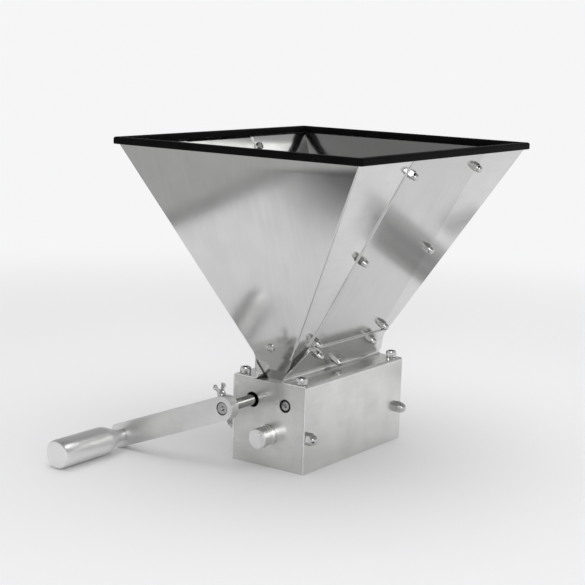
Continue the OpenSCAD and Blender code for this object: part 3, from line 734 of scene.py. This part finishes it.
def cap(*loops):
    """A flat face inside the first closed line and outside the others."""
    edges = []
    for line in loops:
        for i in range(len(line)):
            pair = (line[i], line[(i + 1) % len(line)])
            edges.append(shape.edges.get(pair) or shape.edges.new(pair))
    bmesh.ops.triangle_fill(shape, use_beauty=True, edges=edges)


front, rear = loop(outline, ARM_FRONT_X), loop(outline, ARM_BACK_X)
sink = hole(0, COUNTERSINK_R, ARM_FRONT_X)
sink_foot = hole(0, SHAFT_HOLE_R, ARM_FRONT_X + COUNTERSINK_R - SHAFT_HOLE_R)
bore_end = hole(0, SHAFT_HOLE_R, ARM_BACK_X)
pocket, pocket_foot = hole(CRANK_L, POCKET_R, ARM_BACK_X), hole(CRANK_L, POCKET_R, POCKET_X)
pin_back, pin_front = hole(CRANK_L, PIN_HOLE_R, POCKET_X), hole(CRANK_L, PIN_HOLE_R, ARM_FRONT_X)
bridge(front, rear)
bridge(sink, sink_foot, 1)
bridge(sink_foot, bore_end, 1)
bridge(pocket, pocket_foot)
bridge(pocket_foot, pin_back)
bridge(pin_back, pin_front)
cap(front, sink, pin_front)
cap(rear, bore_end, pocket)
bmesh.ops.recalc_face_normals(shape, faces=shape.faces)
shape.verts.index_update()
points = [tuple(v.co) for v in shape.verts]
bar, bore = [[tuple(v.index for v in f.verts) for f in shape.faces if f.material_index == k] for k in (0, 1)]
shape.free()

satin_aluminium = metal("satin_aluminium", (0.77, 0.77, 0.76), 0.36, (260, 40, 260), streak=0.03, cloud=0.08)
# Near black colour on the countersink and bore faces: painted shade inside the shaft hole.
painted_bore_shade = metal("painted_bore_shade_aluminium", (0.12, 0.12, 0.12), 0.25, (200, 200, 200), streak=0.10, cloud=0.10)
on_crank = Matrix.Translation((0, SHAFT_Y, SHAFT_Z)) @ Matrix.Rotation(-CRANK_DROP, 4, "X")
arm = piece("flat_crank_arm", [on_crank @ Vector(p) for p in points], bar + bore, [satin_aluminium, painted_bore_shade],
            ARM_DEBURR, 40, len(bar))
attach(arm, "drive")
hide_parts("crank_arm")

# Wing screw. Polished stainless, pressed wings on a short boss, screwed through the
# hub and the shaft.

WING_SCREW_X = -0.119
WING_SCREW_L = 0.0260
THREAD_TURNS = 7
THREAD_PITCH = 0.0007
THREAD_R = 0.0020
THREAD_ROOT_R = 0.0016
WING_SHANK_R = 0.0019
EAR_ROOT_X = 0.0012
EAR_ROOT_Z = 0.0022
EAR_REACH_X = 0.0059
EAR_REACH_Z = 0.0080
EAR_ACROSS = Vector((0.82, 0, -0.57))
EAR_TIP = 0.84
EAR_STEPS = 18
EAR_SIDES = 16

rings = round_rings((0.0, -WING_SCREW_L), (0.0014, -WING_SCREW_L), (0.0017, -0.0257))
for i in range(THREAD_TURNS):
    rings += round_rings((THREAD_R, -0.0255 + THREAD_PITCH * i), (THREAD_ROOT_R, -0.02515 + THREAD_PITCH * i))
rings += round_rings((WING_SHANK_R, -0.0204), (WING_SHANK_R, 0.0), (0.0037, 0.0), (0.0040, 0.0004),
                     (0.0039, 0.0016), (0.0033, 0.0036), (0.0026, 0.0048), (0.0014, 0.0055), (0.0, 0.0056))
points, faces = turning(rings, 40)
for s in (-1, 1):
    first = len(points)
    for i in range(EAR_STEPS + 1):
        u = i / EAR_STEPS
        along = Vector((EAR_ROOT_X + EAR_REACH_X * u, 0, EAR_ROOT_Z + EAR_REACH_Z * u ** 0.85))
        rounded = math.sqrt(max(0.0, 1 - (max(0.0, u - EAR_TIP) / (1 - EAR_TIP)) ** 2))
        wide = rounded * (0.0014 + 0.0005 * (1 - u) + 0.0013 * math.exp(-((u - 0.80) / 0.22) ** 2))
        thick = rounded * (0.0015 - 0.0002 * u)
        for k in range(EAR_SIDES):
            t = 2 * math.pi * k / EAR_SIDES
            p = along + EAR_ACROSS * wide * math.cos(t) + Vector((0, thick * math.sin(t), 0))
            points.append((s * p.x, p.y, p.z))
    faces.append(tuple(first + k for k in range(EAR_SIDES)))
    for i in range(EAR_STEPS):
        near, far = first + i * EAR_SIDES, first + (i + 1) * EAR_SIDES
        for k in range(EAR_SIDES):
            j = (k + 1) % EAR_SIDES
            faces.append((near + k, near + j, far + j, far + k))
on_hub = on_crank @ Matrix.Translation((WING_SCREW_X, 0, ARM_HALF_W))
wings = piece("hub_wing_screw", [on_hub @ Vector(p) for p in points], faces, [polished], crease=40)
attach(wings, "drive")
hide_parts("crank_wing_screw")

# Grip. A turned aluminium handle with a slim neck, a curved swell and a bevelled end;
# it spins on a pin in the arm.

GRIP_R = 0.013
GRIP_NECK_R = 0.0055
GRIP_L = 0.0845
GRIP_GAP = 0.0002
NECK_L = 0.002
SWELL_END = 0.030
SWELL_STEPS = 32

grip_y = SHAFT_Y + CRANK_L * math.cos(CRANK_DROP)
grip_z = SHAFT_Z - CRANK_L * math.sin(CRANK_DROP)
rings = round_rings((0.0, GRIP_GAP), (GRIP_NECK_R - 0.0004, GRIP_GAP), (GRIP_NECK_R, 0.0006))
for i in range(SWELL_STEPS + 1):
    u = i / SWELL_STEPS
    swell = GRIP_NECK_R + (GRIP_R - GRIP_NECK_R) * (1 - math.cos(math.pi * u)) / 2
    rings.append(ring(swell, NECK_L + (SWELL_END - NECK_L) * u))
rings += round_rings((GRIP_R, 0.050), (GRIP_R, 0.066), (GRIP_R, GRIP_L - 0.0017),
                     (GRIP_R - 0.0004, GRIP_L - 0.0008), (GRIP_R - 0.0015, GRIP_L),
                     (GRIP_R * 0.6, GRIP_L), (GRIP_R * 0.2, GRIP_L), (0.0, GRIP_L))
points, faces = turning(rings, 96)
on_grip = Matrix.Translation((ARM_FRONT_X, grip_y, grip_z)) @ Matrix.Rotation(-math.pi / 2, 4, "Y")
turned_aluminium = metal("turned_aluminium", (0.84, 0.84, 0.835), 0.39, (300, 20, 20),
                         streak=0.012, cloud=0.02, relief=0.0000001)
grip = piece("grip_handle", [on_grip @ Vector(p) for p in points], faces, [turned_aluminium], crease=30)
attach(grip, "grip")
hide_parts("grip")
dress("grip_pin", bright_bar)
dress("grip_washer", polished)
dress("grip_screw", polished)

# Floor and backdrop. A pale seamless floor under the mill that fades into an evenly
# lit backdrop; mirrors see the backdrop get darker higher up.

BACKDROP = (0.92, 0.92, 0.93, 1)
FLOOR_TONE = (0.90, 0.90, 0.905, 1)
FLOOR_HALF = 30
FADE_START = 0.55
FADE_END = 1.3
SKY_POWER = 0.6
DUSK_LOW = 0.12
DUSK_HIGH = 0.26
DUSK_TONE = 0.41


def reckon(tree, operation, first, second):
    """One number worked out from two."""
    made = add(tree, "Math")
    made.operation = operation
    tree.links.new(first, made.inputs[0])
    tree.links.new(second, made.inputs[1])
    return made.outputs[0]


def soft_step(tree, value, start, end, low=0.0, high=1.0):
    """Goes softly from low to high while a value goes from start to end."""
    step = add(tree, "MapRange", {"From Min": start, "From Max": end, "To Min": low, "To Max": high})
    step.interpolation_type = "SMOOTHSTEP"
    tree.links.new(value, step.inputs["Value"])
    return step.outputs["Result"]


def seen_by_mirrors(tree):
    """One for rays from the camera, from glossy surfaces and through glass, else nothing."""
    path = add(tree, "LightPath")
    total = path.outputs["Is Camera Ray"]
    for kind in ("Is Glossy Ray", "Is Transmission Ray"):
        total = reckon(tree, "MAXIMUM", total, path.outputs[kind])
    return total


def blend(tree, share, first, second, output):
    """Mixes two surfaces by a share and joins the result to the output."""
    mixed = add(tree, "MixShader")
    for source, target in zip((share, first.outputs[0], second.outputs[0]), mixed.inputs):
        tree.links.new(source, target)
    tree.links.new(mixed.outputs[0], tree.nodes[output].inputs["Surface"])


def sheet_mesh(name, half_x, half_y):
    """A flat rectangle about its own middle."""
    mesh = bpy.data.meshes.new(name)
    mesh.from_pydata([(-half_x, -half_y, 0), (half_x, -half_y, 0), (half_x, half_y, 0), (-half_x, half_y, 0)],
                     [], [(0, 1, 2, 3)])
    return mesh


floor_mesh = sheet_mesh("floor", FLOOR_HALF, FLOOR_HALF)
floor = bpy.data.objects.new("floor", floor_mesh)
bpy.context.scene.collection.objects.link(floor)
floor_paint, tree, shader = blank("pale_floor")
shader.inputs["Base Color"].default_value = FLOOR_TONE
shader.inputs["Roughness"].default_value = 0.8
shader.inputs["Specular IOR Level"].default_value = 0.1
glow = add(tree, "Emission", {"Color": BACKDROP})
reach = add(tree, "VectorMath")
reach.operation = "LENGTH"
tree.links.new(add(tree, "TexCoord").outputs["Object"], reach.inputs[0])
fade = soft_step(tree, reach.outputs["Value"], FADE_START, FADE_END)
blend(tree, reckon(tree, "MULTIPLY", fade, seen_by_mirrors(tree)), shader, glow, "Material Output")
floor_mesh.materials.append(floor_paint)

world = bpy.data.worlds.new("studio")
bpy.context.scene.world = world
world.use_nodes = True
tree = world.node_tree
sky = tree.nodes["Background"]
sky.inputs["Color"].default_value = BACKDROP
sky.inputs["Strength"].default_value = SKY_POWER
wall = add(tree, "Background", {"Color": BACKDROP})
height = add(tree, "SeparateXYZ")
tree.links.new(add(tree, "TexCoord").outputs["Generated"], height.inputs[0])
dusk = soft_step(tree, height.outputs["Z"], DUSK_LOW, DUSK_HIGH, 1.0, DUSK_TONE)
tree.links.new(dusk, wall.inputs["Strength"])
blend(tree, seen_by_mirrors(tree), sky, wall, "World Output")

# Lamps and cards. A large soft lamp above, one beside the camera and a small box at
# the right; soft edged glowing cards paint the reflections that the bright sheets
# mirror, and the cards lying on the floor paint dark reflections of shade and dark
# patches near the mill. Only mirrors see the cards.


def aimed(spot, aim):
    """The turn that points a lamp or a card from one point to another."""
    return (Vector(aim) - Vector(spot)).to_track_quat("-Z", "Y")


def softbox(name, spot, aim, wide, tall, power, mirrored=True):
    """A rectangular studio light that looks from one point to another."""
    lamp = bpy.data.lights.new(name, "AREA")
    lamp.shape = "RECTANGLE"
    lamp.size = wide
    lamp.size_y = tall
    lamp.energy = power
    held = bpy.data.objects.new(name, lamp)
    held.location = spot
    held.rotation_mode = "QUATERNION"
    held.rotation_quaternion = aimed(spot, aim)
    held.visible_glossy = mirrored
    bpy.context.scene.collection.objects.link(held)


def card(name, spot, wide, tall, soft, tone, end_tone=None, aim=None, turn=0.0):
    """A soft edged glowing card that paints a reflection, aimed at a point or lying flat with a turn in
    degrees; it throws no shadow.
    """
    mesh = sheet_mesh(name, wide / 2, tall / 2)
    cloth, tree, _ = blank(name)
    cloth.cycles.emission_sampling = "NONE"
    part = add(tree, "SeparateXYZ")
    tree.links.new(add(tree, "TexCoord").outputs["Object"], part.inputs[0])
    edges = []
    for axis, half in (("X", wide / 2), ("Y", tall / 2)):
        far = add(tree, "Math")
        far.operation = "ABSOLUTE"
        tree.links.new(part.outputs[axis], far.inputs[0])
        edges.append(soft_step(tree, far.outputs[0], half - soft, half, 1.0, 0.0))
    tones = add(tree, "MapRange", {"From Min": -wide / 2, "From Max": wide / 2, "To Min": tone,
                                   "To Max": tone if end_tone is None else end_tone})
    tree.links.new(part.outputs["X"], tones.inputs["Value"])
    glow = add(tree, "Emission")
    tree.links.new(tones.outputs["Result"], glow.inputs["Color"])
    blend(tree, reckon(tree, "MULTIPLY", *edges), add(tree, "BsdfTransparent"), glow, "Material Output")
    mesh.materials.append(cloth)
    held = bpy.data.objects.new(name, mesh)
    held.location = spot
    held.rotation_mode = "QUATERNION"
    flat = Matrix.Rotation(math.radians(turn), 4, "Z").to_quaternion()
    held.rotation_quaternion = aimed(spot, aim) if aim else flat
    for kind in ("camera", "diffuse", "transmission", "volume_scatter", "shadow"):
        setattr(held, "visible_" + kind, False)
    bpy.context.scene.collection.objects.link(held)


softbox("overhead", (0.1, -0.1, 1.7), (0, 0, 0.1), 2.0, 2.0, power=16.5, mirrored=False)
softbox("camera_light", (-1.78, -1.20, 0.90), (0, 0, 0.1), 0.45, 0.45, power=7)
softbox("right_box", (1.34, -0.60, 1.12), (0, 0, 0.24), 0.36, 0.20, power=0.24)
card("ceiling_flag", (0.0, 0.0, 1.3), 1.3, 1.3, soft=0.4, tone=0.12, aim=(0, 0, 0.2))
card("left_flag", (-1.1, 0.8, 0.97), 0.7, 0.7, soft=0.12, tone=0.17, aim=(0, 0, 0.27))
# Painted reflections on the floor: darker patches, a dark streak and a shadow before the box, seen only by
# mirrors.
card("left_painted_reflection", (-0.67, 0.65, 0.004), 1.3, 1.04, soft=0.03, tone=0.50, end_tone=0.42, turn=46)
card("left_painted_dark_streak", (-0.334, 0.284, 0.006), 0.22, 0.040, soft=0.014, tone=0.24, turn=46)
card("near_painted_dark_reflection", (-0.677, -0.029, 0.008), 0.84, 0.26, soft=0.10, tone=0.10, turn=30)
card("front_painted_shadow_reflection", (-0.16, -0.155, 0.004), 0.26, 0.06, soft=0.015, tone=0.15, turn=58)
REFLECTION_BAND_TURN = 39.5
for i, tone in enumerate((0.36, 0.26, 0.32, 0.24, 0.38, 0.46)):
    off = 0.006 + 0.0125 * i
    band_x = 0.325 + off * math.sin(math.radians(REFLECTION_BAND_TURN))
    band_y = -0.090 - off * math.cos(math.radians(REFLECTION_BAND_TURN))
    card("right_table_%d" % i, (band_x, band_y, 0.004 + 0.0005 * i), 0.17, 0.022, soft=0.008, tone=tone,
         turn=REFLECTION_BAND_TURN)
card("right_painted_reflection_end", (0.480, -0.142, 0.009), 0.12, 0.034, soft=0.012, tone=0.36, turn=-5)

# Camera. It stands where the photograph was taken from, found from the corners of
# the body and the hopper.

AZIMUTH = math.radians(-54.547)
ELEVATION = math.radians(10.302)
ROLL = 0.030649
CAMERA_SPOT = (-1.06661, -0.72493, 0.38159)
LENS = 87.526
SENSOR = 36.0

level = math.cos(ELEVATION)
back = Vector((math.sin(AZIMUTH) * level, -math.cos(AZIMUTH) * level, math.sin(ELEVATION)))
right = Vector((0, 0, 1)).cross(back).normalized()
up = back.cross(right)
right, up = math.cos(ROLL) * right + math.sin(ROLL) * up, math.cos(ROLL) * up - math.sin(ROLL) * right
camera = bpy.data.objects.new("camera", bpy.data.cameras.new("camera"))
camera.data.lens = LENS
camera.data.sensor_width = SENSOR
camera.matrix_world = Matrix.Translation(CAMERA_SPOT) @ Matrix((right, up, back)).transposed().to_4x4()
bpy.context.scene.collection.objects.link(camera)
bpy.context.scene.camera = camera
bpy.context.scene.view_settings.view_transform = "Standard"

bpy.context.view_layer.update()
